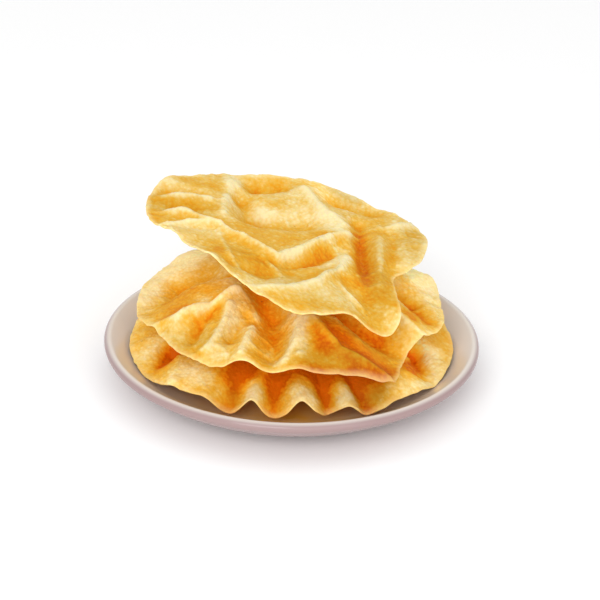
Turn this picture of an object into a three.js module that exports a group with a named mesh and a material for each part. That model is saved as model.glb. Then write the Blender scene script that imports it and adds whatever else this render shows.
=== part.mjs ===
// A stack of three fried papads lying on one shallow glazed plate.
// Millimetres, +Z up, the front of the stack towards -Y,
// origin on the table under the middle of the plate.
import * as THREE from "three";

// The plate: a coupe with a rounded lip, a hollowed underside and a flat foot ring.
const plate = {
  radius: 115, // out to the lip
  height: 26, // top of the lip
  lipRadius: 3, // of the lip's round section
  lipFrom: -49, // degrees round that section where the underside meets it
  lipTo: 130, // and where the inside does
  footInner: 56, // the flat ring that the plate stands on
  footOuter: 66,
  footHollow: 1.5, // how far the underside lies above the table inside the ring
  footBevel: 2, // the ring's slanting sides
  floorRadius: 62, // where the inside starts to climb
  floorHeight: 7.5,
  outsidePower: 2.1, // how late the underside climbs towards the lip
  insidePower: 2.3, // the same for the inside
  segments: 64,
  wallSteps: 5,
  lipSteps: 6,
};

// The papads: round wafers that fried into domes with ruffled rims.
const sheet = {
  thickness: 1.5,
  rings: 17, // from the middle to the rim
  frontPull: 0.25, // sets the corners closer together at the front, where the ruffles are tight
  probe: 0.004, // step, as a share of the radius and in radians, for the slope of the surface
};

// Every papad has these values:
// centre       where its middle lies over the plate
// radius       of its rim before the ruffles move it
// rimHeight, crownHeight   heights of its middle surface at the rim and in the middle
// domePower    how flat the crown is
// tilt         rise for each millimetre towards +X
// curlPower    how late a ruffle grows towards the rim
// ruffles      at: degrees round from +X, wide: degrees, from: share of the radius where it
//              starts, rise: height at the rim, reach: how far the rim moves out
// creases      wide: half width, path: points [x, y, rise] from the papad's middle
const papadBottom = {
  name: "papad_bottom",
  colour: 0xe8b45c,
  centre: [0, 2],
  radius: 100,
  rimHeight: 20,
  crownHeight: 49,
  domePower: 1.5,
  tilt: 0,
  curlPower: 0.9,
  ruffles: [
    { at: 12, wide: 10, from: 0.4, rise: 3, reach: -2 },
    { at: 170, wide: 10, from: 0.4, rise: 3, reach: -2 },
    { at: 236, wide: 9, from: 0.3, rise: 3, reach: -4 },
    // the tight ruffles along the front
    { at: 248, wide: 6.5, from: 0.35, rise: -6, reach: -7 },
    { at: 256, wide: 4.5, from: 0.45, rise: 5, reach: -9 },
    { at: 264.5, wide: 5.5, from: 0.35, rise: -6, reach: -10 },
    { at: 275, wide: 5, from: 0.45, rise: 5, reach: -12 },
    { at: 285, wide: 5, from: 0.35, rise: -6, reach: -12 },
    { at: 292, wide: 4.5, from: 0.45, rise: 2.5, reach: -6 },
    { at: 298, wide: 3.6, from: 0.35, rise: -5.5, reach: -4 },
    { at: 312, wide: 9, from: 0.3, rise: 2, reach: -1 },
  ],
  backRuffles: { first: 33, step: 19, count: 7, wide: 8.5, from: 0.4, rise: 4, reach: -9 },
  creases: [
    // the two deep valleys left and right, and the lobe before the left one
    { wide: 8, path: [[-57, -38, -2], [-70, -30, -12], [-79, -48, -3]] },
    { wide: 8, path: [[64, -31, -2], [73, -24, -12], [79, -46, -4]] },
    { wide: 8, path: [[-64, -42, 0], [-68, -68, 4]] },
  ],
};

const papadMiddle = {
  name: "papad_middle",
  colour: 0xf0bf66,
  centre: [0, 0],
  radius: 95,
  rimHeight: 45,
  crownHeight: 71,
  domePower: 1.5,
  tilt: 0,
  curlPower: 1.4,
  ruffles: [
    { at: 2, wide: 14, from: 0.3, rise: -3, reach: -3 },
    { at: 26, wide: 11, from: 0.4, rise: 2, reach: 1 },
    { at: 136, wide: 9, from: 0.4, rise: 4, reach: 0 },
    { at: 215, wide: 16, from: 0.4, rise: 0, reach: -3 },
    { at: 255, wide: 6, from: 0.4, rise: 8, reach: 0 },
    { at: 272, wide: 8, from: 0.5, rise: 5, reach: -2 },
    // the flap that juts out to a tip at the front right, and the notch beside it
    { at: 300, wide: 9, from: 0.3, rise: -6, reach: 5 },
    { at: 308, wide: 6, from: 0.2, rise: -7, reach: 3 },
    { at: 326, wide: 14, from: 0.3, rise: -6, reach: -12 },
  ],
  backRuffles: { first: 46, step: 18, count: 5, wide: 8.5, from: 0.4, rise: 6.5, reach: -6 },
  creases: [
    // the long crest at the left with the hollow and the pocket behind it
    { wide: 7, path: [[-32, -26, 7], [-42, -34, 9], [-53, -40, 9], [-66, -46, 9], [-78, -44, 4]] },
    { wide: 12, path: [[-54, 16, -9], [-69, 9, -12], [-85, -14, -6]] },
    { wide: 6, path: [[-40, 8, -6], [-47, 2, -7]] },
    // flutes that run down to the front left
    { wide: 5, path: [[-42, -29, -3], [-46, -37, -6], [-52, -48, -6], [-56, -59, -4]] },
    { wide: 4, path: [[-36, -40, 3], [-38, -53, 4], [-42, -64, 4], [-48, -73, 3]] },
    { wide: 4.5, path: [[-27, -45, -3], [-34, -65, -4]] },
    { wide: 4.5, path: [[-22, -56, 4], [-28, -84, 3]] },
    // the deep valley in the middle of the front
    { wide: 12, path: [[-23, 2, -13], [-17, -19, -16], [-11, -37, -18], [-12, -75, -9]] },
    // the ridge that ends in the tip, and the wide valley behind it
    { wide: 8, path: [[13, -55, 5], [19, -68, 8], [28, -79, 8], [41, -82, 8], [56, -80, 4]] },
    { wide: 5, path: [[6, -52, 4], [3, -72, 5], [-4, -86, 3]] },
    { wide: 12, path: [[19, -24, -14], [35, -34, -17], [49, -43, -14], [61, -56, -7]] },
    // the band and the hollow at the right
    { wide: 7, path: [[54, -25, 5], [79, -38, 4]] },
    { wide: 8, path: [[60, 1, -6], [71, -5, -8], [79, -19, -5]] },
  ],
};

const papadTop = {
  name: "papad_top",
  colour: 0xf2c870,
  centre: [-2, 18],
  radius: 91,
  rimHeight: 82,
  crownHeight: 83,
  domePower: 1.8,
  tilt: -0.147,
  curlPower: 1.5,
  ruffles: [
    { at: 6, wide: 14, from: 0.5, rise: 5, reach: -3 },
    { at: 95, wide: 30, from: 0.4, rise: 5, reach: -4 },
    { at: 152, wide: 18, from: 0.3, rise: 7, reach: 1 },
    { at: 190, wide: 16, from: 0.4, rise: 1, reach: -3 },
    { at: 210, wide: 13, from: 0.4, rise: 5, reach: -12 },
    { at: 223, wide: 8, from: 0.4, rise: 1, reach: -5 },
    { at: 237, wide: 15, from: 0.4, rise: 9, reach: -9 },
    { at: 276, wide: 14, from: 0.4, rise: -4, reach: 7 },
    // the lobe that hangs down at the front right, and the flank beside it
    { at: 304, wide: 10, from: 0.3, rise: -17, reach: 9 },
    { at: 312, wide: 6, from: 0.3, rise: 1, reach: 5 },
    { at: 338, wide: 20, from: 0.3, rise: -6, reach: -23 },
    { at: 350, wide: 8, from: 0.5, rise: 2, reach: 3 },
  ],
  backRuffles: { count: 0 },
  creases: [
    // ripples across the left end
    { wide: 5, path: [[-88, 20, 0], [-83, 17, 3], [-71, 19, 6], [-62, 20, 6], [-51, 24, 5], [-44, 25, 2]] },
    { wide: 6.5, path: [[-87, 16, -1], [-77, 28, -7], [-64, 32, -7], [-50, 27, -3]] },
    { wide: 5, path: [[-82, -7, -1], [-71, 5, -5], [-62, 5, -4], [-53, -4, 0]] },
    // the long crest from the left end to the right flank
    {
      wide: 6,
      path: [
        [-84, -4, 1], [-75, -3, 5], [-66, -1, 6], [-60, -5, 6], [-52, -11, 6],
        [-43, -13, 6], [-37, -20, 5], [-29, -25, 6], [-21, -31, 6], [-15, -37, 6],
        [-7, -40, 6], [6, -28, 6], [23, -5, 6], [36, 9, 5], [44, 17, 2],
      ],
    },
    // a low crest over the face before it
    { wide: 4, path: [[-77, -27, 2], [-68, -20, 3], [-61, -15, 4], [-50, -14, 2]] },
    // hollows behind the crest
    { wide: 13, path: [[-19, 19, -8], [5, 23, -8]] },
    { wide: 9, path: [[-34, 45, -8], [-25, 24, -8]] },
    // the pocket before the crest, and the valley over the lip
    { wide: 6, path: [[-13, -47, -2], [-2, -43, -5], [10, -36, -6], [23, -21, -5], [30, -9, -2]] },
    { wide: 6, path: [[-36, -62, -2], [-25, -64, -4], [-14, -61, -4], [-2, -56, -2]] },
    // thin creases from the crest to the front
    { wide: 3, path: [[-16, -43, 1], [-11, -50, 2], [-4, -59, 1]] },
    { wide: 3, path: [[-42, -26, 1], [-35, -55, 2], [-26, -70, 1]] },
    // the lip along the front, and the crease down its right end
    {
      wide: 5.5,
      path: [[-24, -86, 1], [-12, -82, 3], [1, -76, 4], [16, -66, 5], [29, -42, 5], [34, -20, 2]],
    },
    { wide: 4, path: [[28, -56, 1], [35, -66, 3], [42, -70, 2]] },
    // flutes down the right flank
    { wide: 6, path: [[41, 32, -5], [42, 5, -7], [43, -16, -7], [45, -53, -2]] },
    { wide: 5, path: [[54, 14, 2], [54, -16, 4], [53, -48, 1]] },
    { wide: 4.5, path: [[63, 24, -2], [62, -3, -3], [61, -19, -1]] },
    // the back half: a fold, a hollow, a broad ridge and a slope at the right
    { wide: 8, path: [[-40, 60, 5], [-43, 9, 4]] },
    { wide: 10, path: [[-10, 74, -7], [-24, 68, -8]] },
    { wide: 11, path: [[7, 66, 6], [20, 36, 6], [33, 22, 4]] },
    { wide: 10, path: [[48, 62, -6], [30, 66, -7]] },
    { wide: 5, path: [[58, 32, 1], [66, 34, 4], [75, 41, 4]] },
  ],
};

const degrees = THREE.MathUtils.degToRad;

// A bell curve, 1 in the middle.
function bell(x) {
  return Math.exp(-x * x);
}

// The section of a fold's crest: 1 at the top, a narrow crown and sides that flatten out.
function ridge(x) {
  return Math.exp(-1.5 * (Math.hypot(x, 0.1) - 0.1));
}

// The shortest turn in degrees from one direction to another.
function turnBetween(a, b) {
  return THREE.MathUtils.euclideanModulo(a - b + 180, 360) - 180;
}

// The hidden side has regular ruffles: troughs, pulled in a little, with crests between them.
function allRuffles(papad) {
  const { first, step, count, wide, from, rise, reach } = papad.backRuffles;
  const back = [];
  for (let k = 0; k < count; k++) {
    const crest = k % 2 === 1;
    const at = first + step * k;
    back.push({ at, wide, from, rise: crest ? rise : -rise, reach: crest ? 0 : reach });
  }
  return [...papad.ruffles, ...back];
}

// How far out the rim lies in a direction.
function rimRadius(papad, ruffles, direction) {
  let radius = papad.radius;
  for (const ruffle of ruffles) {
    radius += ruffle.reach * bell(turnBetween(direction, ruffle.at) / ruffle.wide);
  }
  return radius;
}

// What a crease adds at (x, y): its rise at the nearest point of its path, fading sideways,
// sharply from a crest and softly from a valley.
function creaseRise(crease, x, y) {
  let nearest = Infinity;
  let rise = 0;
  for (let k = 1; k < crease.path.length; k++) {
    const [x0, y0, rise0] = crease.path[k - 1];
    const [x1, y1, rise1] = crease.path[k];
    const dx = x1 - x0;
    const dy = y1 - y0;
    const along = ((x - x0) * dx + (y - y0) * dy) / (dx * dx + dy * dy);
    const t = THREE.MathUtils.clamp(along, 0, 1);
    const distance = Math.hypot(x - x0 - t * dx, y - y0 - t * dy);
    if (distance < nearest) {
      nearest = distance;
      rise = rise0 + (rise1 - rise0) * t;
    }
  }
  const fade = rise > 0 ? ridge : bell;
  return rise * fade(nearest / crease.wide);
}

// The middle surface of a papad: share runs from 0 in the middle to 1 at the rim, angle is in
// radians. The height is a dome, plus the tilt, the ruffles and the creases.
function sheetPoint(papad, ruffles, share, angle) {
  const direction = THREE.MathUtils.radToDeg(angle);
  const radius = share * rimRadius(papad, ruffles, direction);
  const x = radius * Math.cos(angle);
  const y = radius * Math.sin(angle);
  const dome = 1 - share ** papad.domePower;
  let z = papad.rimHeight + (papad.crownHeight - papad.rimHeight) * dome + papad.tilt * x;
  for (const ruffle of ruffles) {
    const grown = Math.max(0, (share - ruffle.from) / (1 - ruffle.from)) ** papad.curlPower;
    z += ruffle.rise * bell(turnBetween(direction, ruffle.at) / ruffle.wide) * grown;
  }
  for (const crease of papad.creases) {
    z += creaseRise(crease, x, y);
  }
  return new THREE.Vector3(papad.centre[0] + x, papad.centre[1] + y, z);
}

// The upward normal of the middle surface, from the slopes on both sides of a point.
function sheetNormal(papad, ruffles, share, angle) {
  const step = sheet.probe;
  const outward = sheetPoint(papad, ruffles, share + step, angle);
  outward.sub(sheetPoint(papad, ruffles, share - step, angle));
  const around = sheetPoint(papad, ruffles, share, angle + step);
  around.sub(sheetPoint(papad, ruffles, share, angle - step));
  return outward.cross(around).normalize();
}

// A papad as a closed solid: an upper and a lower face, split into triangles alike and half
// the thickness off the middle surface, joined by a band round the rim. Ring k has six times k
// corners, so the triangles stay about the same size from the middle to the rim.
function papadGeometry(papad) {
  const { rings } = sheet;
  const sides = 6;
  const ruffles = allRuffles(papad);
  const half = sheet.thickness / 2;
  const upper = [];
  const lower = [];
  function place(point, normal) {
    const offset = normal.clone().multiplyScalar(half);
    upper.push(point.clone().add(offset));
    lower.push(point.clone().sub(offset));
  }
  place(sheetPoint(papad, ruffles, 0, 0), new THREE.Vector3(0, 0, 1));
  for (let ring = 1; ring <= rings; ring++) {
    const corners = sides * ring;
    for (let k = 0; k < corners; k++) {
      const turn = (2 * Math.PI * k) / corners;
      const angle = turn - sheet.frontPull * Math.cos(turn);
      const point = sheetPoint(papad, ruffles, ring / rings, angle);
      place(point, sheetNormal(papad, ruffles, ring / rings, angle));
    }
  }
  const corner = (ring, k) => {
    const inside = 1 + (sides * ring * (ring - 1)) / 2;
    return ring === 0 ? 0 : inside + (k % (sides * ring));
  };
  const under = upper.length;
  const index = [];
  function both(a, b, c) {
    index.push(a, b, c);
    index.push(under + a, under + c, under + b);
  }
  for (let ring = 1; ring <= rings; ring++) {
    for (let k = 0; k < sides * ring; k++) {
      const side = Math.floor(k / ring);
      const inner = k - side;
      both(corner(ring - 1, inner), corner(ring, k), corner(ring, k + 1));
      if (k % ring < ring - 1) {
        both(corner(ring - 1, inner), corner(ring, k + 1), corner(ring - 1, inner + 1));
      }
    }
  }
  for (let k = 0; k < sides * rings; k++) {
    const here = corner(rings, k);
    const next = corner(rings, k + 1);
    index.push(here, under + here, under + next);
    index.push(here, under + next, next);
  }
  const geometry = new THREE.BufferGeometry().setFromPoints([...upper, ...lower]);
  geometry.setIndex(index);
  geometry.computeVertexNormals();
  return geometry;
}

// Points [radius, height] of the plate's section, from under its middle, round the lip and
// back to the middle of its floor.
function plateProfile() {
  const { lipRadius, footHollow, footBevel, floorRadius, floorHeight } = plate;
  const { wallSteps, lipSteps } = plate;
  const lipCentre = new THREE.Vector2(plate.radius - lipRadius, plate.height - lipRadius);
  const lipStart = degrees(plate.lipFrom);
  const lipEnd = degrees(plate.lipTo);
  const outside = lipCentre.clone();
  outside.x += lipRadius * Math.cos(lipStart);
  outside.y += lipRadius * Math.sin(lipStart);
  const inside = lipCentre.clone();
  inside.x += lipRadius * Math.cos(lipEnd);
  inside.y += lipRadius * Math.sin(lipEnd);
  const points = [
    new THREE.Vector2(0, footHollow),
    new THREE.Vector2(plate.footInner - footBevel, footHollow),
    new THREE.Vector2(plate.footInner, 0),
    new THREE.Vector2(plate.footOuter, 0),
  ];
  const rootX = plate.footOuter + footBevel;
  for (let k = 0; k < wallSteps; k++) {
    const t = k / wallSteps;
    const climb = (outside.y - footHollow) * t ** plate.outsidePower;
    points.push(new THREE.Vector2(rootX + (outside.x - rootX) * t, footHollow + climb));
  }
  for (let k = 0; k <= lipSteps; k++) {
    const turn = lipStart + ((lipEnd - lipStart) * k) / lipSteps;
    const along = new THREE.Vector2(Math.cos(turn), Math.sin(turn)).multiplyScalar(lipRadius);
    points.push(lipCentre.clone().add(along));
  }
  for (let k = wallSteps - 1; k >= 0; k--) {
    const t = k / wallSteps;
    const climb = (inside.y - floorHeight) * t ** plate.insidePower;
    points.push(new THREE.Vector2(floorRadius + (inside.x - floorRadius) * t, floorHeight + climb));
  }
  points.push(new THREE.Vector2(0, floorHeight));
  return points;
}

// The section turned about the upright axis.
function plateGeometry() {
  const geometry = new THREE.LatheGeometry(plateProfile(), plate.segments);
  geometry.rotateX(Math.PI / 2);
  return geometry;
}

function glaze() {
  return new THREE.MeshStandardMaterial({ color: 0xe3d9d3, roughness: 0.25, metalness: 0 });
}

function friedWafer(colour) {
  return new THREE.MeshStandardMaterial({ color: colour, roughness: 0.65, metalness: 0 });
}

const group = new THREE.Group();

const plateMesh = new THREE.Mesh(plateGeometry(), glaze());
plateMesh.name = "plate";
group.add(plateMesh);

for (const papad of [papadBottom, papadMiddle, papadTop]) {
  const mesh = new THREE.Mesh(papadGeometry(papad), friedWafer(papad.colour));
  mesh.name = papad.name;
  group.add(mesh);
}

export default group;
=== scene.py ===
from itertools import product
from math import cos, pi, radians, sin

import bpy
import numpy as np
from mathutils import Matrix, Vector


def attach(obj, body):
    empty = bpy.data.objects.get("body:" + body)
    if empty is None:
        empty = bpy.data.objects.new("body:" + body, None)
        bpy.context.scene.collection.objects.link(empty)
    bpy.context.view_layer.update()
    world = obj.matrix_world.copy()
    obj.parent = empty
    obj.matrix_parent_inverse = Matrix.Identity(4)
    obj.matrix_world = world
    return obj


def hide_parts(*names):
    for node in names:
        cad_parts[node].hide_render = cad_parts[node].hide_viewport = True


# Looks for a pile of three fried papads on a shallow glazed plate.
# Shapes are worked out in millimetres and put into the meshes in metres.
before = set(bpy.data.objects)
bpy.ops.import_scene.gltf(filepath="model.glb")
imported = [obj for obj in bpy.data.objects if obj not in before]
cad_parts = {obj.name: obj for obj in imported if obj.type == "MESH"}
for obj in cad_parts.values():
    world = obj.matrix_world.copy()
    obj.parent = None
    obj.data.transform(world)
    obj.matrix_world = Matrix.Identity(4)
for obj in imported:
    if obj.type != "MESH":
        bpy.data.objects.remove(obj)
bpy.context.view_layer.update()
print("frame loaded")

mm = 0.001


def closedPiece(name, rings, values):
    # a closed surface: rings[i, k] is corner k of ring i, and a fan of triangles closes each end
    # at the mean of its ring; values holds one number for every corner, by attribute name
    count, corners = rings.shape[:2]
    ends = rings[[0, -1]].mean(1)
    points = np.concatenate([ends[:1], rings.reshape(-1, 3), ends[1:]]) * mm
    k = np.arange(corners)
    after = (k + 1) % corners
    inner = 1 + np.arange(count - 1)[:, None] * corners
    outer = inner + corners
    quads = np.stack([inner + k, outer + k, outer + after, inner + after], -1).reshape(-1, 4)
    last = len(points) - 1
    lastRing = last - corners
    firstFan = np.stack([0 * k, 1 + k, 1 + after], -1)
    lastFan = np.stack([last + 0 * k, lastRing + after, lastRing + k], -1)
    faces = quads.tolist() + firstFan.tolist() + lastFan.tolist()
    mesh = bpy.data.meshes.new(name)
    mesh.from_pydata(points.tolist(), [], faces)
    mesh.polygons.foreach_set("use_smooth", np.ones(len(faces), bool))
    for label, numbers in values.items():
        whole = np.concatenate([[numbers[0].mean()], numbers.ravel(), [numbers[-1].mean()]])
        store = mesh.attributes.new(label, "FLOAT", "POINT")
        store.data.foreach_set("value", whole.astype(np.float32))
    mesh.update()
    piece = bpy.data.objects.new(name, mesh)
    bpy.context.scene.collection.objects.link(piece)
    return piece


papadBottom = {
    "name": "papadBottomWafer",
    "node": "papad_bottom",
    "centre": (0, 2),
    "radius": 100,
    "rimHeight": 20,
    "crownHeight": 49,
    "domePower": 1.5,
    "tilt": 0,
    "curlPower": 0.9,
    # each ruffle: degrees round from +X, half width in degrees, share of the radius where it
    # starts, rise at the rim, how far the rim moves out
    "ruffles": [
        (12, 10, 0.4, 3, -2),
        (170, 10, 0.4, 3, -2),
        (236, 9, 0.3, 3, -4),
        (248, 6.5, 0.35, -6, -7),
        (256, 4.5, 0.45, 5, -9),
        (264.5, 5.5, 0.35, -6, -10),
        (275, 5, 0.45, 5, -12),
        (285, 5, 0.35, -6, -12),
        (292, 4.5, 0.45, 2.5, -6),
        (298, 3.6, 0.35, -5.5, -4),
        (312, 9, 0.3, 2, -1),
    ],
    # the hidden side: first, step, count, half width, start, rise, pull
    "backRuffles": (33, 19, 7, 8.5, 0.4, 4, -9),
    # each crease: half width, then the points (x, y, rise) of its path
    "creases": [
        (8, [(-57, -38, -2), (-70, -30, -12), (-79, -48, -3)]),
        (8, [(64, -31, -2), (73, -24, -12), (79, -46, -4)]),
        (8, [(-64, -42, 0), (-68, -68, 4)]),
    ],
    # toasted patches that also paint shade where a sheet lies in shadow or in a valley, and under 0
    # paint light: half width, then the points (x, y, how much) of their path
    "toastedAndShaded": [
        # painted shade under the middle sheet's front rim
        (14, [(-40, -54, 0.5), (0, -56, 0.55), (44, -54, 0.5)]),
        (10, [(-38, -66, 0.4), (0, -68, 0.45), (45, -66, 0.4)]),
        # painted shade down the troughs of the front ruffles, and painted light on a crest
        (4, [(-13, -70, 0.2), (-10, -80, 0.2)]),
        (4, [(17, -70, 0.2), (20, -78, 0.2)]),
        (5, [(5, -73, -0.15), (7, -84, -0.2)]),
        (5, [(-23, -70, -0.25), (-22, -82, -0.3)]),
        (5, [(31, -70, 0.1), (32, -79, -0.15)]),
        (7, [(50, -70, 0.15), (50, -80, 0.2)]),
        # painted shade at the left and the right valley, and painted light beside them
        (8, [(-73, -26, 0.3), (-71, -42, 0.65), (-70, -54, 0.35)]),
        (7, [(-80, -24, -0.15), (-88, -32, -0.2)]),
        (6, [(72, -28, 0.25), (70, -48, 0.6)]),
        (10, [(-68, -58, -0.3), (-50, -64, -0.45)]),
        (8, [(84, -22, -0.25), (88, -36, -0.25)]),
        (7, [(68, -66, -0.2), (84, -48, -0.4)]),
    ],
    # patches of painted shade and light, the same way: 1 takes the colour down as painted shade, under
    # 0 lifts it as painted light
    "browned": [
        (9, [(-42, -79, 0.4), (-20, -81, 0.6), (0, -81, 0.3), (30, -79, 0.6), (50, -76, 1.1)]),
        (4, [(-24, -66, -0.5), (-24, -80, -0.5)]),
        (4, [(-34, -66, 0.3), (-32, -74, 0.5)]),
        (8, [(-75, -28, -0.3), (-72, -42, -0.3)]),
        (6, [(86, -42, 0.3), (90, -30, 0.2)]),
        (8, [(76, -18, -0.8), (70, -34, -0.4)]),
    ],
    "offset": 0.04,  # moves the toast level of the colour
    "paintedLightScale": 1.02,  # painted light: scales the colour, lower for a sheet that gets more light and higher for one that gets less
    "seed": 3,
}

papadMiddle = {
    "name": "papadMiddleWafer",
    "node": "papad_middle",
    "centre": (0, 0),
    "radius": 95,
    "rimHeight": 45,
    "crownHeight": 71,
    "domePower": 1.5,
    "tilt": 0,
    "curlPower": 1.4,
    "ruffles": [
        (2, 14, 0.3, -3, -3),
        (26, 11, 0.4, 2, 1),
        (136, 9, 0.4, 4, 0),
        (215, 16, 0.4, 0, -3),
        (255, 6, 0.4, 8, 0),
        (272, 8, 0.5, 5, -2),
        (300, 9, 0.3, -6, 5),
        (308, 6, 0.2, -7, 3),
        (326, 14, 0.3, -6, -12),
    ],
    "backRuffles": (46, 18, 5, 8.5, 0.4, 6.5, -6),
    "creases": [
        (7, [(-32, -26, 7), (-42, -34, 9), (-53, -40, 9), (-66, -46, 9), (-78, -44, 4)]),
        (12, [(-54, 16, -9), (-69, 9, -12), (-85, -14, -6)]),
        (6, [(-40, 8, -6), (-47, 2, -7)]),
        (5, [(-42, -29, -3), (-46, -37, -6), (-52, -48, -6), (-56, -59, -4)]),
        (4, [(-36, -40, 3), (-38, -53, 4), (-42, -64, 4), (-48, -73, 3)]),
        (4.5, [(-27, -45, -3), (-34, -65, -4)]),
        (4.5, [(-22, -56, 4), (-28, -84, 3)]),
        (12, [(-23, 2, -13), (-17, -19, -16), (-11, -37, -18), (-12, -75, -9)]),
        (8, [(13, -55, 5), (19, -68, 8), (28, -79, 8), (41, -82, 8), (56, -80, 4)]),
        (5, [(6, -52, 4), (3, -72, 5), (-4, -86, 3)]),
        (12, [(19, -24, -14), (35, -34, -17), (49, -43, -14), (61, -56, -7)]),
        (7, [(54, -25, 5), (79, -38, 4)]),
        (8, [(60, 1, -6), (71, -5, -8), (79, -19, -5)]),
    ],
    # painted shade in the valleys and where the top sheet shades this one, painted light under 0
    "toastedAndShaded": [
        (14, [(-75, -12, 0.3), (-55, -12, 0.3)]),
        (7, [(-75, -32, 0.2), (-60, -32, 0.3)]),
        (6, [(-74, -43, 0.4), (-60, -42, 0.5)]),
        (6, [(-54, -28, -0.35), (-50, -38, -0.25)]),
        (5, [(-43, -42, 0.25), (-40, -56, 0.2)]),
        (6, [(-62, -66, 0.2), (-50, -74, 0.25)]),
        (7, [(-34, -50, -0.3), (-35, -60, -0.3)]),
        (6, [(-44, -76, -0.3), (-38, -80, -0.3)]),
        (11, [(-16, -12, 0.15), (-15, -40, 0.15), (-14, -66, 0.15)]),
        (6, [(-21, -86, 0.35), (-19, -74, 0.2)]),
        (6, [(-12, -74, -0.35), (-8, -84, -0.35)]),
        (5, [(-26, -30, 0.12), (-25, -50, 0.12)]),
        (7, [(14, -56, 0.15), (17, -72, 0.2)]),
        (5, [(28, -78, 0.25), (46, -79, 0.25)]),
        (9, [(24, -46, 0.1), (52, -52, 0.15)]),
        (6, [(0, -90, 0.15), (14, -91, 0.3)]),
        (6, [(9, -58, -0.35), (6, -72, -0.35)]),
        # painted shade on the panel and the rim before the ridge to the tip
        (14, [(24, -64, 0.5), (50, -71, 0.5)]),
        (8, [(22, -74, 0.35), (36, -80, 0.45), (52, -80, 0.2)]),
        (5, [(8, -93, 0.2), (30, -92, 0.4), (55, -84, 0.3)]),
        (9, [(30, -30, 0.1), (50, -38, 0.2)]),
        (7, [(60, -22, 0.3), (70, -28, 0.45)]),
        (9, [(72, -2, 0.3), (78, -14, 0.25)]),
        # painted light: paler towards the back and at the left end, where the top sheet shades this one
        (13, [(-84, 36, -0.7), (-66, 50, -0.75)]),
        (10, [(-90, 8, -0.3), (-88, -12, -0.3)]),
        (12, [(78, 34, -0.6), (88, 12, -0.25)]),
    ],
    # painted shade on the front panel and rim, painted light under 0 where the top sheet shades this
    # one
    "browned": [
        (14, [(14, -84, 0.8), (36, -82, 1.0), (52, -76, 0.6)]),
        (14, [(-72, -60, 0.5), (-46, -66, 0.4)]),
        (8, [(28, -68, -0.6), (46, -67, -0.6)]),
        (7, [(2, -36, -0.4), (2, -54, -0.5)]),
        (11, [(-28, -6, -1.1), (-20, -26, -1.0), (-16, -60, -0.35)]),
        (14, [(-78, 20, -0.3), (-64, 48, -0.7)]),
        (13, [(-50, 0, -0.4), (-48, -24, -0.4)]),
        (12, [(66, 20, -1.0), (75, 38, -1.0)]),
        (9, [(24, -28, -1.0), (42, -34, -0.9), (26, -46, -0.8)]),
    ],
    "offset": -0.04,
    "paintedLightScale": 0.92,
    "seed": 5,
}

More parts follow.
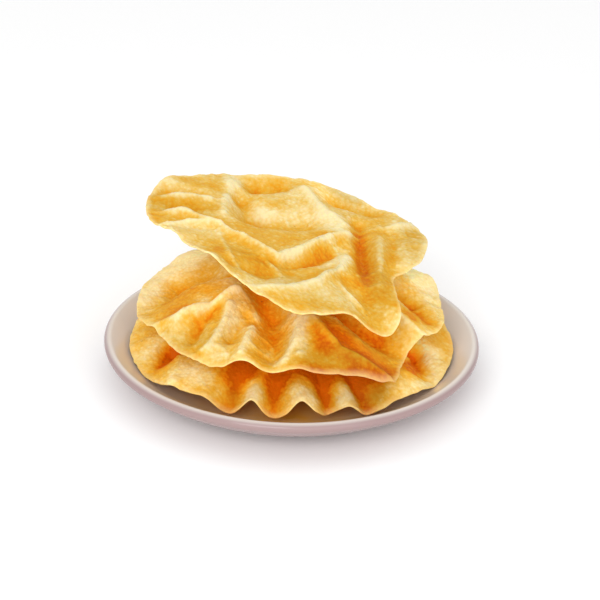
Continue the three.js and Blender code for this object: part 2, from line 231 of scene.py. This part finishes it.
papadTop = {
    "name": "papadTopWafer",
    "node": "papad_top",
    "centre": (-2, 18),
    "radius": 91,
    "rimHeight": 82,
    "crownHeight": 83,
    "domePower": 1.8,
    "tilt": -0.147,
    "curlPower": 1.5,
    "ruffles": [
        (6, 14, 0.5, 5, -3),
        (95, 30, 0.4, 5, -4),
        (152, 18, 0.3, 7, 1),
        (190, 16, 0.4, 1, -3),
        (210, 13, 0.4, 5, -12),
        (223, 8, 0.4, 1, -5),
        (237, 15, 0.4, 9, -9),
        (276, 14, 0.4, -4, 7),
        (304, 10, 0.3, -17, 9),
        (312, 6, 0.3, 1, 5),
        (338, 20, 0.3, -6, -23),
        (350, 8, 0.5, 2, 3),
    ],
    "backRuffles": (0, 0, 0, 1, 0, 0, 0),
    "creases": [
        (5, [(-88, 20, 0), (-83, 17, 3), (-71, 19, 6), (-62, 20, 6), (-51, 24, 5), (-44, 25, 2)]),
        (6.5, [(-87, 16, -1), (-77, 28, -7), (-64, 32, -7), (-50, 27, -3)]),
        (5, [(-82, -7, -1), (-71, 5, -5), (-62, 5, -4), (-53, -4, 0)]),
        (6, [(-84, -4, 1), (-75, -3, 5), (-66, -1, 6), (-60, -5, 6), (-52, -11, 6), (-43, -13, 6),
             (-37, -20, 5), (-29, -25, 6), (-21, -31, 6), (-15, -37, 6), (-7, -40, 6), (6, -28, 6),
             (23, -5, 6), (36, 9, 5), (44, 17, 2)]),
        (4, [(-77, -27, 2), (-68, -20, 3), (-61, -15, 4), (-50, -14, 2)]),
        (13, [(-19, 19, -8), (5, 23, -8)]),
        (9, [(-34, 45, -8), (-25, 24, -8)]),
        (6, [(-13, -47, -2), (-2, -43, -5), (10, -36, -6), (23, -21, -5), (30, -9, -2)]),
        (6, [(-36, -62, -2), (-25, -64, -4), (-14, -61, -4), (-2, -56, -2)]),
        (3, [(-16, -43, 1), (-11, -50, 2), (-4, -59, 1)]),
        (3, [(-42, -26, 1), (-35, -55, 2), (-26, -70, 1)]),
        (5.5, [(-24, -86, 1), (-12, -82, 3), (1, -76, 4), (16, -66, 5), (29, -42, 5), (34, -20, 2)]),
        (4, [(28, -56, 1), (35, -66, 3), (42, -70, 2)]),
        (6, [(41, 32, -5), (42, 5, -7), (43, -16, -7), (45, -53, -2)]),
        (5, [(54, 14, 2), (54, -16, 4), (53, -48, 1)]),
        (4.5, [(63, 24, -2), (62, -3, -3), (61, -19, -1)]),
        (8, [(-40, 60, 5), (-43, 9, 4)]),
        (10, [(-10, 74, -7), (-24, 68, -8)]),
        (11, [(7, 66, 6), (20, 36, 6), (33, 22, 4)]),
        (10, [(48, 62, -6), (30, 66, -7)]),
        (5, [(58, 32, 1), (66, 34, 4), (75, 41, 4)]),
    ],
    # painted shade in valleys and hollows, painted light under 0
    "toastedAndShaded": [
        (20, [(-25, -2, 0.22), (12, -4, 0.3)]),
        (10, [(-26, 58, 0.25), (-12, 43, 0.25)]),
        (7, [(-20, 32, -0.15), (20, 32, -0.2)]),
        (7, [(-40, 74, -0.25), (-38, 46, -0.1)]),
        (10, [(-24, 76, 0.15), (0, 78, 0.15)]),
        (11, [(-62, 48, 0.28), (-48, 46, 0.28)]),
        (10, [(-50, 22, 0.12), (-46, 12, 0.12)]),
        (7, [(-84, 11, 0.3), (-62, 14, 0.3)]),
        (4, [(-82, 20, 0.25), (-62, 20, 0.2)]),
        (5, [(-60, -5, 0.15), (-29, -25, 0.25), (-9, -38, 0.25), (6, -28, 0.2), (36, 9, 0.15)]),
        (6, [(22, 20, -0.2), (31, 9, -0.3)]),
        (6, [(-4, -42, -0.2), (12, -8, -0.3), (26, -10, -0.3)]),
        (6, [(20, -40, -0.2), (33, -16, -0.25)]),
        (10, [(-35, -50, 0.25), (-10, -52, 0.3), (6, -48, 0.25)]),
        (6, [(10, -62, 0.25), (22, -54, 0.2)]),
        # painted shade down the valley of the right flank and over the lobe
        (6, [(41, 20, 0.3), (41, -10, 0.4), (41, -45, 0.4)]),
        (7, [(53, 22, 0.35), (53, -22, 0.4), (54, -50, 0.3)]),
        (8, [(72, 26, 0.2), (74, 8, 0.2)]),
        (8, [(50, -58, 0.25), (60, -66, 0.1)]),
        (7, [(60, -38, 0.15), (62, -62, 0.3)]),
        (10, [(14, -42, 0.1), (28, -50, 0.15)]),
        (10, [(56, 56, 0.2), (52, 40, 0.25)]),
        (6, [(-12, -92, 0.15), (45, -84, 0.25)]),
        # the pale face at the front left
        (9, [(-68, -22, -0.3), (-50, -20, -0.25)]),
        (8, [(-50, -34, 0.08), (-42, -58, 0.25), (-32, -74, 0.2)]),
        (8, [(-82, -8, 0.3), (-74, -18, 0.25)]),
    ],
    # painted shade on the right flank and the front, painted light under 0
    "browned": [
        (9, [(50, 0, 0.2), (52, -40, 0.4), (52, -66, 0.45)]),
        (12, [(76, 30, 0.3), (74, 0, 0.3)]),
        (18, [(-24, -52, 0.25), (16, -78, 0.3)]),
        (12, [(-80, 10, 0.35), (-55, 12, 0.25)]),
        (7, [(30, 82, 0.4), (40, 78, 0.5)]),
        (8, [(14, 80, -0.6), (22, 64, -0.6)]),
    ],
    "offset": -0.14,
    "paintedLightScale": 0.88,
    "seed": 8,
}

wafer = {
    "thickness": 1.5,
    "thinner": 0.4,  # the share of its thickness that the sheet loses towards the rim
    "corners": 540,  # round the rim
    "rings": 110,  # from the middle to where the rim starts to round over
    "ringPower": 0.85,  # under 1 sets the rings closer together towards the rim
    "rimRings": 5,  # over the rounded rim
    "bubbleHeight": 0.5,  # of the big blisters
    "bubbleSize": 8,
    "pebbleHeight": 0.42,  # of the small ones between them
    "pebbleSize": 3,
    "wave": 0.7,  # slow unevenness of the whole sheet
    "waveSize": 17,
    "wrinkle": 0.9,  # sharp little crests that wander over the sheet
    "wrinkleSize": 15,
    "wrinkleSkew": 0.4,  # slants the noise grid that they follow
    "wrinklePower": 6,  # how sharp they are
    "wrinkleGaps": 1.6,  # size of the places without them, against wrinkleSize
    "crinkle": 0.8,  # pleats that run in from the rim
    "crinkles": 13,  # noise cells from the middle of the circle that they are read on
    "nibble": 0.7,  # how far the rim falls short of its smooth line
    "nibbles": 1.7,  # how many more there are than pleats
    "patchSize": 24,  # of the places where the big blisters stand high or low
    "underside": 0.6,  # share of the relief that the lower face has
    "edgeFrom": 0.965,  # share of the radius where the pale edge starts
}

blister = {
    "radius": (0.35, 0.45),  # the least, as a share of the cell, and how much chance adds
    "height": (0.35, 0.65),  # the same for the height, as a share of the highest
    "roundness": 1.2,
}

# the colour level: real toasting plus painted shade in hollows and where a sheet lies under another,
# and painted light on crests
toastAndShading = {
    "level": 0.40,
    # painted shade in hollows and creases, painted light on crests: more for each mm that a point lies
    # below its surroundings; how far off those are, how much
    "hollows": [(5, 0.06), (12, 0.035), (2.5, 0.10)],
    # unevenness: size of its noise, how much, and what it adds to the papad's seed
    "clouds": [(21, 0.10, 4), (7, 0.06, 5)],
    "bubble": -0.12,  # less on the blisters
    "pebble": -0.16,
    "pebbleMean": 0.4,
    "wrinkle": -0.15,
    "edge": -0.1,  # less at the rim, as a share: part of the rim's painted glow
    "least": 0.1,
    "underside": (0.25, 0.5),  # the lower face: the least, and the share of the upper face's level
}


def bell(x):
    # exp(-x^2), 1 in the middle
    return np.exp(-x * x)


def ridge(x):
    # exp(-1.5 (sqrt(x^2 + 0.01) - 0.1)), a crest with a narrow crown
    return np.exp(-1.5 * (np.hypot(x, 0.1) - 0.1))


def turnBetween(a, b):
    # the shortest turn in degrees from b to a
    return (a - b + 180) % 360 - 180


def allRuffles(papad):
    # the named ruffles, and on the hidden side troughs and crests in turn
    first, step, count, wide, start, rise, pull = papad["backRuffles"]
    back = [
        (first + step * k, wide, start, rise if k % 2 else -rise, 0 if k % 2 else pull)
        for k in range(count)
    ]
    return papad["ruffles"] + back


def rimRadius(papad, direction):
    # the radius plus each ruffle's reach times a bell of the turn from it
    radius = papad["radius"] + 0 * direction
    for at, wide, start, rise, reach in allRuffles(papad):
        radius = radius + reach * bell(turnBetween(direction, at) / wide)
    return radius


def nearPath(path, x, y):
    # the distance to the nearest point of a path, and the number that the path has there
    nearest = np.full(x.shape, np.inf)
    number = np.zeros(x.shape)
    for (x0, y0, first), (x1, y1, last) in zip(path[:-1], path[1:]):
        dx, dy = x1 - x0, y1 - y0
        t = np.clip(((x - x0) * dx + (y - y0) * dy) / (dx * dx + dy * dy), 0, 1)
        distance = np.hypot(x - x0 - t * dx, y - y0 - t * dy)
        closer = distance < nearest
        nearest = np.where(closer, distance, nearest)
        number = np.where(closer, first + (last - first) * t, number)
    return nearest, number


def creaseRise(path, wide, x, y):
    # the rise at the nearest point, fading sharply beside a crest and softly beside a valley
    distance, rise = nearPath(path, x, y)
    return rise * np.where(rise > 0, ridge(distance / wide), bell(distance / wide))


def sheetHeight(papad, x, y):
    # a dome, plus the tilt, the ruffles that grow towards the rim, and the creases
    direction = np.degrees(np.arctan2(y, x))
    share = np.minimum(np.hypot(x, y) / rimRadius(papad, direction), 1.02)
    dome = 1 - share ** papad["domePower"]
    z = papad["rimHeight"] + (papad["crownHeight"] - papad["rimHeight"]) * dome + papad["tilt"] * x
    for at, wide, start, rise, reach in allRuffles(papad):
        grown = np.clip((share - start) / (1 - start), 0, None) ** papad["curlPower"]
        z = z + rise * bell(turnBetween(direction, at) / wide) * grown
    for wide, path in papad["creases"]:
        z = z + creaseRise(path, wide, x, y)
    return z


def smoothStep(t):
    # 3t^2 - 2t^3
    return t * t * (3 - 2 * t)


def valueNoise(x, y, size, seed, cells=97):
    # smooth noise from -1 to 1: random corners of a square grid, blended by a smooth step
    table = np.random.default_rng(seed).uniform(-1, 1, (cells, cells))
    i, j = np.floor(x / size).astype(int), np.floor(y / size).astype(int)
    s, t = smoothStep(x / size - i), smoothStep(y / size - j)
    near, far = table[i % cells, j % cells], table[(i + 1) % cells, j % cells]
    low = near + (far - near) * s
    near, far = table[i % cells, (j + 1) % cells], table[(i + 1) % cells, (j + 1) % cells]
    high = near + (far - near) * s
    return low + (high - low) * t


def blisters(place, size, seed, cells=37):
    # domed bubbles from 0 to 1: each cell of a cubic grid holds one, of random place, width
    # and height, and the highest bubble at a point counts
    table = np.random.default_rng(seed).random((cells, cells, cells, 5))
    (leastRadius, moreRadius), (leastHeight, moreHeight) = blister["radius"], blister["height"]
    cell = np.floor(place / size).astype(int)
    highest = np.zeros(place.shape[:-1])
    for step in product((-1, 0, 1), repeat=3):
        i, j, k = np.moveaxis((cell + step) % cells, -1, 0)
        bubble = table[i, j, k]
        away = (cell + step + bubble[..., :3]) * size - place
        radius = size * (leastRadius + moreRadius * bubble[..., 3])
        domed = np.clip(1 - (away * away).sum(-1) / (radius * radius), 0, 1) ** blister["roundness"]
        highest = np.maximum(highest, domed * (leastHeight + moreHeight * bubble[..., 4]))
    return highest


def patches(named, x, y):
    # the sum of the named patches: the number at the nearest point of each path, times a bell
    total = 0 * x
    for wide, path in named:
        distance, amount = nearPath(path, x, y)
        total = total + amount * bell(distance / wide)
    return total


def hollowness(papad, x, y, reach):
    # how far the sheet lies under its surroundings: the mean height on a circle minus the height
    around = np.linspace(0, 2 * pi, 8, endpoint=False)
    mean = sum(sheetHeight(papad, x + reach * cos(a), y + reach * sin(a)) for a in around) / 8
    return mean - sheetHeight(papad, x, y)


def ringPlan(papad):
    # share of the radius and share of the thickness, ring by ring: level, then a quarter circle
    over = np.linspace(0, pi / 2, wafer["rimRings"] + 1)[1:]
    levelEnd = 1 - wafer["thickness"] / 2 / papad["radius"]
    level = levelEnd * np.linspace(0, 1, wafer["rings"] + 1)[1:] ** wafer["ringPower"]
    share = np.concatenate([level, levelEnd + (1 - levelEnd) * np.sin(over)])
    half = np.concatenate([np.ones(wafer["rings"]), np.cos(over)])
    return share[:, None], half[:, None]


def wrinkles(papad, x, y):
    # a power of (1 - |noise|), 1 along the lines where the noise is 0; a second noise leaves gaps
    size, skew = wafer["wrinkleSize"], wafer["wrinkleSkew"]
    away = abs(valueNoise(x + skew * y, y - skew * x, size, papad["seed"] + 14))
    kept = 0.5 + valueNoise(x, y, wafer["wrinkleGaps"] * size, papad["seed"] + 15)
    return (1 - away) ** wafer["wrinklePower"] * np.clip(kept, 0, 1)


def midSheet(papad, share, direction):
    # the sheet's middle surface: the named form, a slow wave, wrinkles, and pleats that grow
    # with the cube of the share of the radius; the rim falls short by nibbles
    seed = papad["seed"]
    angle = np.radians(direction)
    pleatAt = wafer["crinkles"] + 2 * share
    nibbleAt = wafer["nibbles"] * pleatAt
    pleats = valueNoise(pleatAt * np.cos(angle), pleatAt * np.sin(angle), 1, seed + 10)
    nibbles = valueNoise(nibbleAt * np.cos(angle), nibbleAt * np.sin(angle), 1, seed + 12)
    radius = share * rimRadius(papad, direction) - wafer["nibble"] * share ** 4 * (1 + nibbles) / 2
    x, y = radius * np.cos(angle), radius * np.sin(angle)
    wave = wafer["wave"] * valueNoise(x, y, wafer["waveSize"], seed + 11)
    wave = wave + wafer["wrinkle"] * wrinkles(papad, x, y)
    z = sheetHeight(papad, x, y) + wave + wafer["crinkle"] * pleats * share ** 3
    return np.stack([x, y, z], -1)


def upNormals(surface):
    # the slopes along and across the rings, crossed and turned upwards
    across = np.roll(surface, -1, 1) - np.roll(surface, 1, 1)
    normal = np.cross(np.gradient(surface, axis=0), across)
    normal /= np.linalg.norm(normal, axis=-1, keepdims=True)
    return normal * np.sign(normal[..., 2:])


def toastAndShadeLevel(papad, x, y, big, small, edge):
    # the toast-and-shade level: a toasted tone with clouds of noise, more in the hollows and in the
    # named patches as painted shade, less on crests as painted light, and less on blisters and at the
    # rim
    toast = toastAndShading["level"]
    for reach, much in toastAndShading["hollows"]:
        toast = toast + much * hollowness(papad, x, y, reach)
    toast = toast + patches(papad["toastedAndShaded"], x, y)
    for size, much, more in toastAndShading["clouds"]:
        toast = toast + much * valueNoise(x, y, size, papad["seed"] + more)
    toast = toast + toastAndShading["bubble"] * big + toastAndShading["pebble"] * (small - toastAndShading["pebbleMean"])
    toast = toast + toastAndShading["wrinkle"] * wrinkles(papad, x, y)
    return np.clip(toast, toastAndShading["least"], 1) * (1 + toastAndShading["edge"] * edge)


def makePapad(papad):
    # both faces of the sheet, half a thickness and the blisters' relief off its middle surface
    seed = papad["seed"]
    share, half = ringPlan(papad)
    direction = np.linspace(0, 360, wafer["corners"], endpoint=False)
    middle = midSheet(papad, share, direction)
    x, y = middle[..., 0], middle[..., 1]
    normal = upNormals(middle)
    big = blisters(middle, wafer["bubbleSize"], seed + 1)
    small = blisters(middle, wafer["pebbleSize"], seed + 2)
    patchy = np.clip(0.6 + 0.9 * valueNoise(x, y, wafer["patchSize"], seed + 3), 0.1, 1.2)
    relief = wafer["bubbleHeight"] * big * patchy + wafer["pebbleHeight"] * small
    # it thins over the last fifth of the radius
    thick = wafer["thickness"] / 2 * (1 - wafer["thinner"] * smoothStep(np.clip(share * 5 - 4, 0, 1)))
    upper = middle + normal * (half * (thick + relief))[..., None]
    lower = middle - normal * (half * (thick + wafer["underside"] * relief))[..., None]
    edge = np.clip((share - wafer["edgeFrom"]) / (1 - wafer["edgeFrom"]), 0, 1) + 0 * x
    toast = toastAndShadeLevel(papad, x, y, big, small, edge)
    # painted shade and painted light, from the named patches
    browned = patches(papad["browned"], x, y)

    # the rings run from the middle over the rim, and back under with every third one
    level = wafer["rings"]
    under = np.concatenate([np.arange(len(share) - 2, level - 1, -1), np.arange(level - 1, -1, -3)])
    rings = np.concatenate([upper, lower[under]]) + np.array([*papad["centre"], 0])
    least, much = toastAndShading["underside"]
    values = {
        "toast": np.concatenate([toast, least + much * toast[under]]),
        "browned": np.concatenate([browned, 0 * browned[under]]),
        "edge": np.concatenate([edge, edge[under]]),
    }
    piece = closedPiece(papad["name"], rings, values)
    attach(piece, "root")
    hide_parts(papad["node"])
    papad["node"] + "_crust"
    return piece


papads = (papadBottom, papadMiddle, papadTop)
wafers = [makePapad(papad) for papad in papads]
print("papads made:", [len(piece.data.polygons) for piece in wafers])

plate = {
    "radius": 115,
    "height": 26,
    "lipRadius": 3,
    "lipEnds": (130, -49),  # degrees round the lip where the inside and the outside meet it
    "footInner": 56,
    "footOuter": 66,
    "footHollow": 1.5,
    "floorRadius": 62,
    "floorHeight": 7.5,
    "outsidePower": 2.1,
    "insidePower": 2.3,
    "corners": 288,
    "wobble": 0.12,  # how unevenly the glazed lip runs
    "warmShadeReach": 110,  # radius that the painted warm shade fades out at
    "warmShadeFade": 8,
    "warmShadeAllRound": 0.12,  # share of the painted warm shade that is all round
    "warmShadePool": (-92, 46),  # the rest stands here: degrees round from +X, half width
}


def plateSection():
    # [radius, height, outside] from the middle of the floor out over the lip, back to the foot
    p = plate
    lipX, lipZ = p["radius"] - p["lipRadius"], p["height"] - p["lipRadius"]
    turn = np.radians(np.linspace(*p["lipEnds"], 24))
    lip = np.stack([lipX + p["lipRadius"] * np.cos(turn), lipZ + p["lipRadius"] * np.sin(turn)], -1)
    t = np.linspace(0, 1, 26)[:-1]
    insideX = p["floorRadius"] + (lip[0, 0] - p["floorRadius"]) * t
    insideZ = p["floorHeight"] + (lip[0, 1] - p["floorHeight"]) * t ** p["insidePower"]
    rootX = p["footOuter"] + 2
    outsideX = rootX + (lip[-1, 0] - rootX) * t[::-1]
    outsideZ = p["footHollow"] + (lip[-1, 1] - p["footHollow"]) * t[::-1] ** p["outsidePower"]
    floorX = np.linspace(4, p["floorRadius"], 14)[:-1]
    foot = [(p["footOuter"], 0), (p["footOuter"] - 1, 0), (p["footInner"] + 1, 0), (p["footInner"], 0)]
    hollow = [(r, p["footHollow"]) for r in np.linspace(p["footInner"] - 2, 4, 10)]
    upperSide = np.concatenate([
        np.stack([floorX, 0 * floorX + p["floorHeight"]], -1),
        np.stack([insideX, insideZ], -1),
    ])
    underSide = np.concatenate([np.stack([outsideX, outsideZ], -1), foot, hollow])
    over = smoothStep(np.clip(np.linspace(-0.4, 2.2, len(lip)), 0, 1))
    outside = [0 * upperSide[:, 0], over, 1 + 0 * underSide[:, 0]]
    section = np.concatenate([upperSide, lip, underSide])
    return np.column_stack([section, np.concatenate(outside)])


def makePlate():
    # the section turned round Z, its wall waving a little at the lip
    r, z, outside = np.moveaxis(plateSection()[:, None, :], -1, 0)
    angle = np.linspace(0, 2 * pi, plate["corners"], endpoint=False)
    loose = np.clip((r - plate["footOuter"]) / 40, 0, 1)
    uneven = plate["wobble"] * (np.sin(3 * angle + 1) + 0.6 * np.sin(7 * angle) - 1.6)
    wavy = r + loose * uneven
    rings = np.stack([wavy * np.cos(angle), wavy * np.sin(angle), z + 0 * angle], -1)
    poolAt, poolWide = plate["warmShadePool"]
    pool = bell(turnBetween(np.degrees(angle), poolAt) / poolWide)
    spread = plate["warmShadeAllRound"] + (1 - plate["warmShadeAllRound"]) * pool
    # painted warm shade: the plate under the papads darkened and tinted by orange light off them,
    # strongest at the front
    warmShade = np.clip((plate["warmShadeReach"] - r) / plate["warmShadeFade"], 0, 1) * spread
    values = {
        "bare": (z < 0.4) + 0 * angle,  # clay where the foot stands
        "outside": outside + 0 * angle,
        "oil": warmShade * (outside == 0),
    }
    piece = closedPiece("glazedPlate", rings, values)
    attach(piece, "root")
    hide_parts("plate")
    return piece


platePiece = makePlate()
print("plate made:", len(platePiece.data.polygons))


class Wire:
    # a socket that takes part in sums
    def __init__(self, paint, socket):
        self.paint, self.socket = paint, socket

    def maths(self, operation, a, b):
        return self.paint.node("ShaderNodeMath", {"operation": operation}, {0: a, 1: b})

    def __add__(self, other):
        return self.maths("ADD", self, other)

    def __sub__(self, other):
        return self.maths("SUBTRACT", self, other)

    def __mul__(self, other):
        return self.maths("MULTIPLY", self, other)

    def __rsub__(self, other):
        return self.maths("SUBTRACT", other, self)

    __radd__ = __add__
    __rmul__ = __mul__


class Paint:
    # a material being built: node() adds any node and gives back one of its outputs
    def __init__(self, name):
        self.material = bpy.data.materials.new(name)
        self.material.use_nodes = True
        self.tree = self.material.node_tree
        self.shader = self.tree.nodes["Principled BSDF"]

    def fill(self, socket, value):
        if isinstance(value, Wire):
            self.tree.links.new(value.socket, socket)
        else:
            socket.default_value = value

    def node(self, kind, settings, sockets, output=0):
        made = self.tree.nodes.new(kind)
        for key, value in settings.items():
            if key == "stops":
                ramp = made.color_ramp.elements
                while len(ramp) < len(value):
                    ramp.new(0.5)
                for element, (place, colour) in zip(ramp, value):
                    element.position, element.color = place, (*colour, 1)
            else:
                setattr(made, key, value)
        for key, value in sockets.items():
            self.fill(made.inputs[key], value)
        return Wire(self, made.outputs[output])

    def objectPlace(self):
        return self.node("ShaderNodeTexCoord", {}, {}, "Object")

    def attribute(self, name):
        return self.node("ShaderNodeAttribute", {"attribute_name": name}, {}, "Fac")

    def noise(self, place, scale, detail):
        return self.node("ShaderNodeTexNoise", {}, {"Vector": place, "Scale": scale, "Detail": detail})

    def clamp(self, wire):
        return self.node("ShaderNodeClamp", {}, {0: wire, 1: 0.0, 2: 1.0})

    def mix(self, share, first, second):
        settings = {"data_type": "RGBA"}
        return self.node("ShaderNodeMix", settings, {0: share, 6: first, 7: second}, 2)

    def finish(self, sockets):
        for key, value in sockets.items():
            self.fill(self.shader.inputs[key], value)
        return self.material


crust = {
    # colours from pale to well toasted, whose deep end also serves the painted shade, with the level of
    # each
    "tones": [
        (0.0, (0.93, 0.80, 0.44)),
        (0.15, (0.90, 0.71, 0.32)),
        (0.3, (0.86, 0.59, 0.17)),
        (0.45, (0.82, 0.47, 0.065)),
        (0.6, (0.81, 0.39, 0.022)),
        (0.75, (0.78, 0.29, 0.008)),
        (0.9, (0.74, 0.20, 0.002)),
        (1.0, (0.65, 0.13, 0.001)),
    ],
    "paintedShadeDepth": 0.4,  # how much darker a patch of painted shade is
    "edge": (0.90, 0.74, 0.36),
    "pale": 0.4,  # how far the rim goes to the edge's colour, a painted glow of light through the thin rim
    "speck": (0.35, 0.15, 0.03),
    "glow": 0.15,  # how much light passes through the sheet
    "glowReach": 0.0015,
    "sheen": 0.06,  # a thin trace of frying oil
    # what moves the toast level: noise scale, detail, how much
    "cloud": (70.0, 2.0, 0.2),
    "grain": (650.0, 3.0, 0.28),
    "cells": (480.0, 0.24),  # scale, how much
    "speckScale": 130.0,
    "speckSize": 0.10,  # as a share of the cell that a speck lies in
    "speckShare": 0.18,  # of the cells that have one
    "speckDepth": 0.45,
}


def crustPaint(name, offset, paintedLightScale):
    # the toast-and-shade level plus fine noise picks a tone; the patches of painted shade and light
    # darken or lift it, and the edge pales it as a painted glow
    paint = Paint(name)
    # painted light: each sheet's tones scaled for how much light falls on it
    tones = [(at, tuple(paintedLightScale * part for part in tone)) for at, tone in crust["tones"]]
    place = paint.objectPlace()
    toast, edge = paint.attribute("toast"), paint.attribute("edge")
    browned = paint.attribute("browned")
    cloudScale, cloudDetail, cloudMuch = crust["cloud"]
    grainScale, grainDetail, grainMuch = crust["grain"]
    cellScale, cellMuch = crust["cells"]
    cloud = paint.noise(place, cloudScale, cloudDetail)
    grain = paint.noise(place, grainScale, grainDetail)
    packed = {"Vector": place, "Scale": cellScale}
    cells = paint.node("ShaderNodeTexVoronoi", {"feature": "SMOOTH_F1"}, packed)
    level = toast + offset + (cloud - 0.5) * cloudMuch + (grain - 0.5) * grainMuch
    level = paint.clamp(level + (cells - 0.35) * cellMuch)
    colour = paint.node("ShaderNodeValToRGB", {"stops": tones}, {0: level})
    darken = {"data_type": "RGBA", "blend_type": "MULTIPLY", "clamp_result": True}
    # painted shade and painted light: the named patches darken or lift the colour
    light = 1.0 - browned * crust["paintedShadeDepth"]
    colour = paint.node("ShaderNodeMix", darken, {0: 1.0, 6: colour, 7: light}, 2)
    # painted glow: the thin rim paled as if lit through
    colour = paint.mix(edge * crust["pale"], colour, (*crust["edge"], 1))
    # a few small seeds of spice under the skin
    scattered = {"Vector": place, "Scale": crust["speckScale"]}
    seeds = paint.node("ShaderNodeTexVoronoi", {}, scattered)
    centre = paint.node("ShaderNodeTexVoronoi", {}, scattered, "Position")
    chance = paint.node("ShaderNodeTexWhiteNoise", {}, {"Vector": centre})
    near = paint.clamp((crust["speckSize"] - seeds) * 30.0)
    speck = near * paint.clamp((chance - (1 - crust["speckShare"])) * 20.0)
    colour = paint.mix(speck * crust["speckDepth"], colour, (*crust["speck"], 1))

    height = cells * 0.6 + grain * 0.6
    bump = paint.node("ShaderNodeBump", {}, {"Strength": 0.65, "Distance": 0.0006, "Height": height})
    return paint.finish({
        "Base Color": colour,
        "Roughness": 0.75 - level * 0.2,
        "Normal": bump,
        "Subsurface Weight": crust["glow"],
        "Subsurface Radius": (1.0, 0.45, 0.1),
        "Subsurface Scale": crust["glowReach"],
        "Specular IOR Level": crust["sheen"],
    })


for piece, papad in zip(wafers, papads):
    piece.data.materials.append(crustPaint(piece.name + "Crust", papad["offset"], papad["paintedLightScale"]))

glaze = {
    "colour": (0.72, 0.67, 0.61),
    # the outside: a pinkish glaze, darkened as painted shade of the wall under the lip
    "outside": (0.32, 0.22, 0.215),
    "oil": (0.98, 0.50, 0.05),  # painted warm shade: the plate in the papads' shadow, tinted by orange light off them
    "clay": (0.62, 0.53, 0.43),
    "roughness": 0.22,
}


def glazePaint():
    # the glaze, its outside colour with painted shade, then the painted warm shade under the papads and
    # the bare foot over it
    paint = Paint("plateGlaze")
    place = paint.objectPlace()
    bare, outside, oil = paint.attribute("bare"), paint.attribute("outside"), paint.attribute("oil")
    cloud, grit = paint.noise(place, 45.0, 3.0), paint.noise(place, 900.0, 2.0)
    warmShadeShare = paint.clamp(oil * (0.85 + (cloud - 0.5) * 0.6))
    colour = paint.mix(outside, (*glaze["colour"], 1), (*glaze["outside"], 1))
    colour = paint.mix(warmShadeShare, colour, (*glaze["oil"], 1))
    colour = paint.mix(bare, colour, (*glaze["clay"], 1))
    height = cloud + grit * 0.08
    bump = paint.node("ShaderNodeBump", {}, {"Strength": 0.12, "Distance": 0.0006, "Height": height})
    rough = glaze["roughness"] + bare * 0.6 - warmShadeShare * 0.06 + (cloud - 0.5) * 0.08
    return paint.finish({
        "Base Color": colour,
        "Roughness": paint.clamp(rough),
        "Normal": bump,
        "Specular IOR Level": 0.4,
    })


platePiece.data.materials.append(glazePaint())
print("materials made")

studio = {
    "floorSize": 3.0,
    "floor": {"Base Color": (0.98, 0.98, 0.98, 1), "Roughness": 0.9},
    "sky": 0.95,
    "lamps": [
        # name, power, size, place
        ("key", 5.8, 0.6, (-0.3, -1.05, 0.65)),
        ("fill", 3.0, 0.9, (0.4, -1.05, 0.4)),
    ],
    "aim": (0, 0, 0.05),
}

side = studio["floorSize"]
corners = [(-side, -side, 0), (side, -side, 0), (side, side, 0), (-side, side, 0)]
floorMesh = bpy.data.meshes.new("floor")
floorMesh.from_pydata(corners, [], [(0, 1, 2, 3)])
floor = bpy.data.objects.new("floor", floorMesh)
bpy.context.scene.collection.objects.link(floor)
floorMesh.materials.append(Paint("floorPaint").finish(studio["floor"]))

world = bpy.data.worlds.new("studioSky")
bpy.context.scene.world = world
world.use_nodes = True
sky = world.node_tree.nodes["Background"]
sky.inputs["Color"].default_value = (1, 1, 1, 1)
sky.inputs["Strength"].default_value = studio["sky"]

for name, power, size, at in studio["lamps"]:
    lamp = bpy.data.lights.new(name, "AREA")
    lamp.energy, lamp.size = power, size
    lampObject = bpy.data.objects.new(name, lamp)
    lampObject.location = at
    aim = Vector(studio["aim"]) - Vector(at)
    lampObject.rotation_euler = aim.to_track_quat("-Z", "Y").to_euler()
    bpy.context.scene.collection.objects.link(lampObject)

eye = {
    "distance": 0.9,
    "elevation": 25.53,  # degrees above level, looking along +Y
    "roll": -1.75,
    "target": (0.00442, 0, 0.04754),
    "lens": 88.7,
    "sensor": 36,
}

camera = bpy.data.cameras.new("eye")
camera.lens, camera.sensor_width = eye["lens"], eye["sensor"]
cameraObject = bpy.data.objects.new("eye", camera)
bpy.context.scene.collection.objects.link(cameraObject)
tip, roll = radians(eye["elevation"]), radians(eye["roll"])
ahead = Vector((0, cos(tip), -sin(tip)))
level = Vector((1, 0, 0))
upright = level.cross(ahead)
right = level * cos(roll) - upright * sin(roll)
up = level * sin(roll) + upright * cos(roll)
turned = Matrix((right, up, -ahead)).transposed().to_4x4()
cameraObject.matrix_world = Matrix.Translation(Vector(eye["target"]) - ahead * eye["distance"]) @ turned
bpy.context.scene.camera = cameraObject
bpy.context.scene.view_settings.view_transform = "Standard"
print("floor, light and camera made")
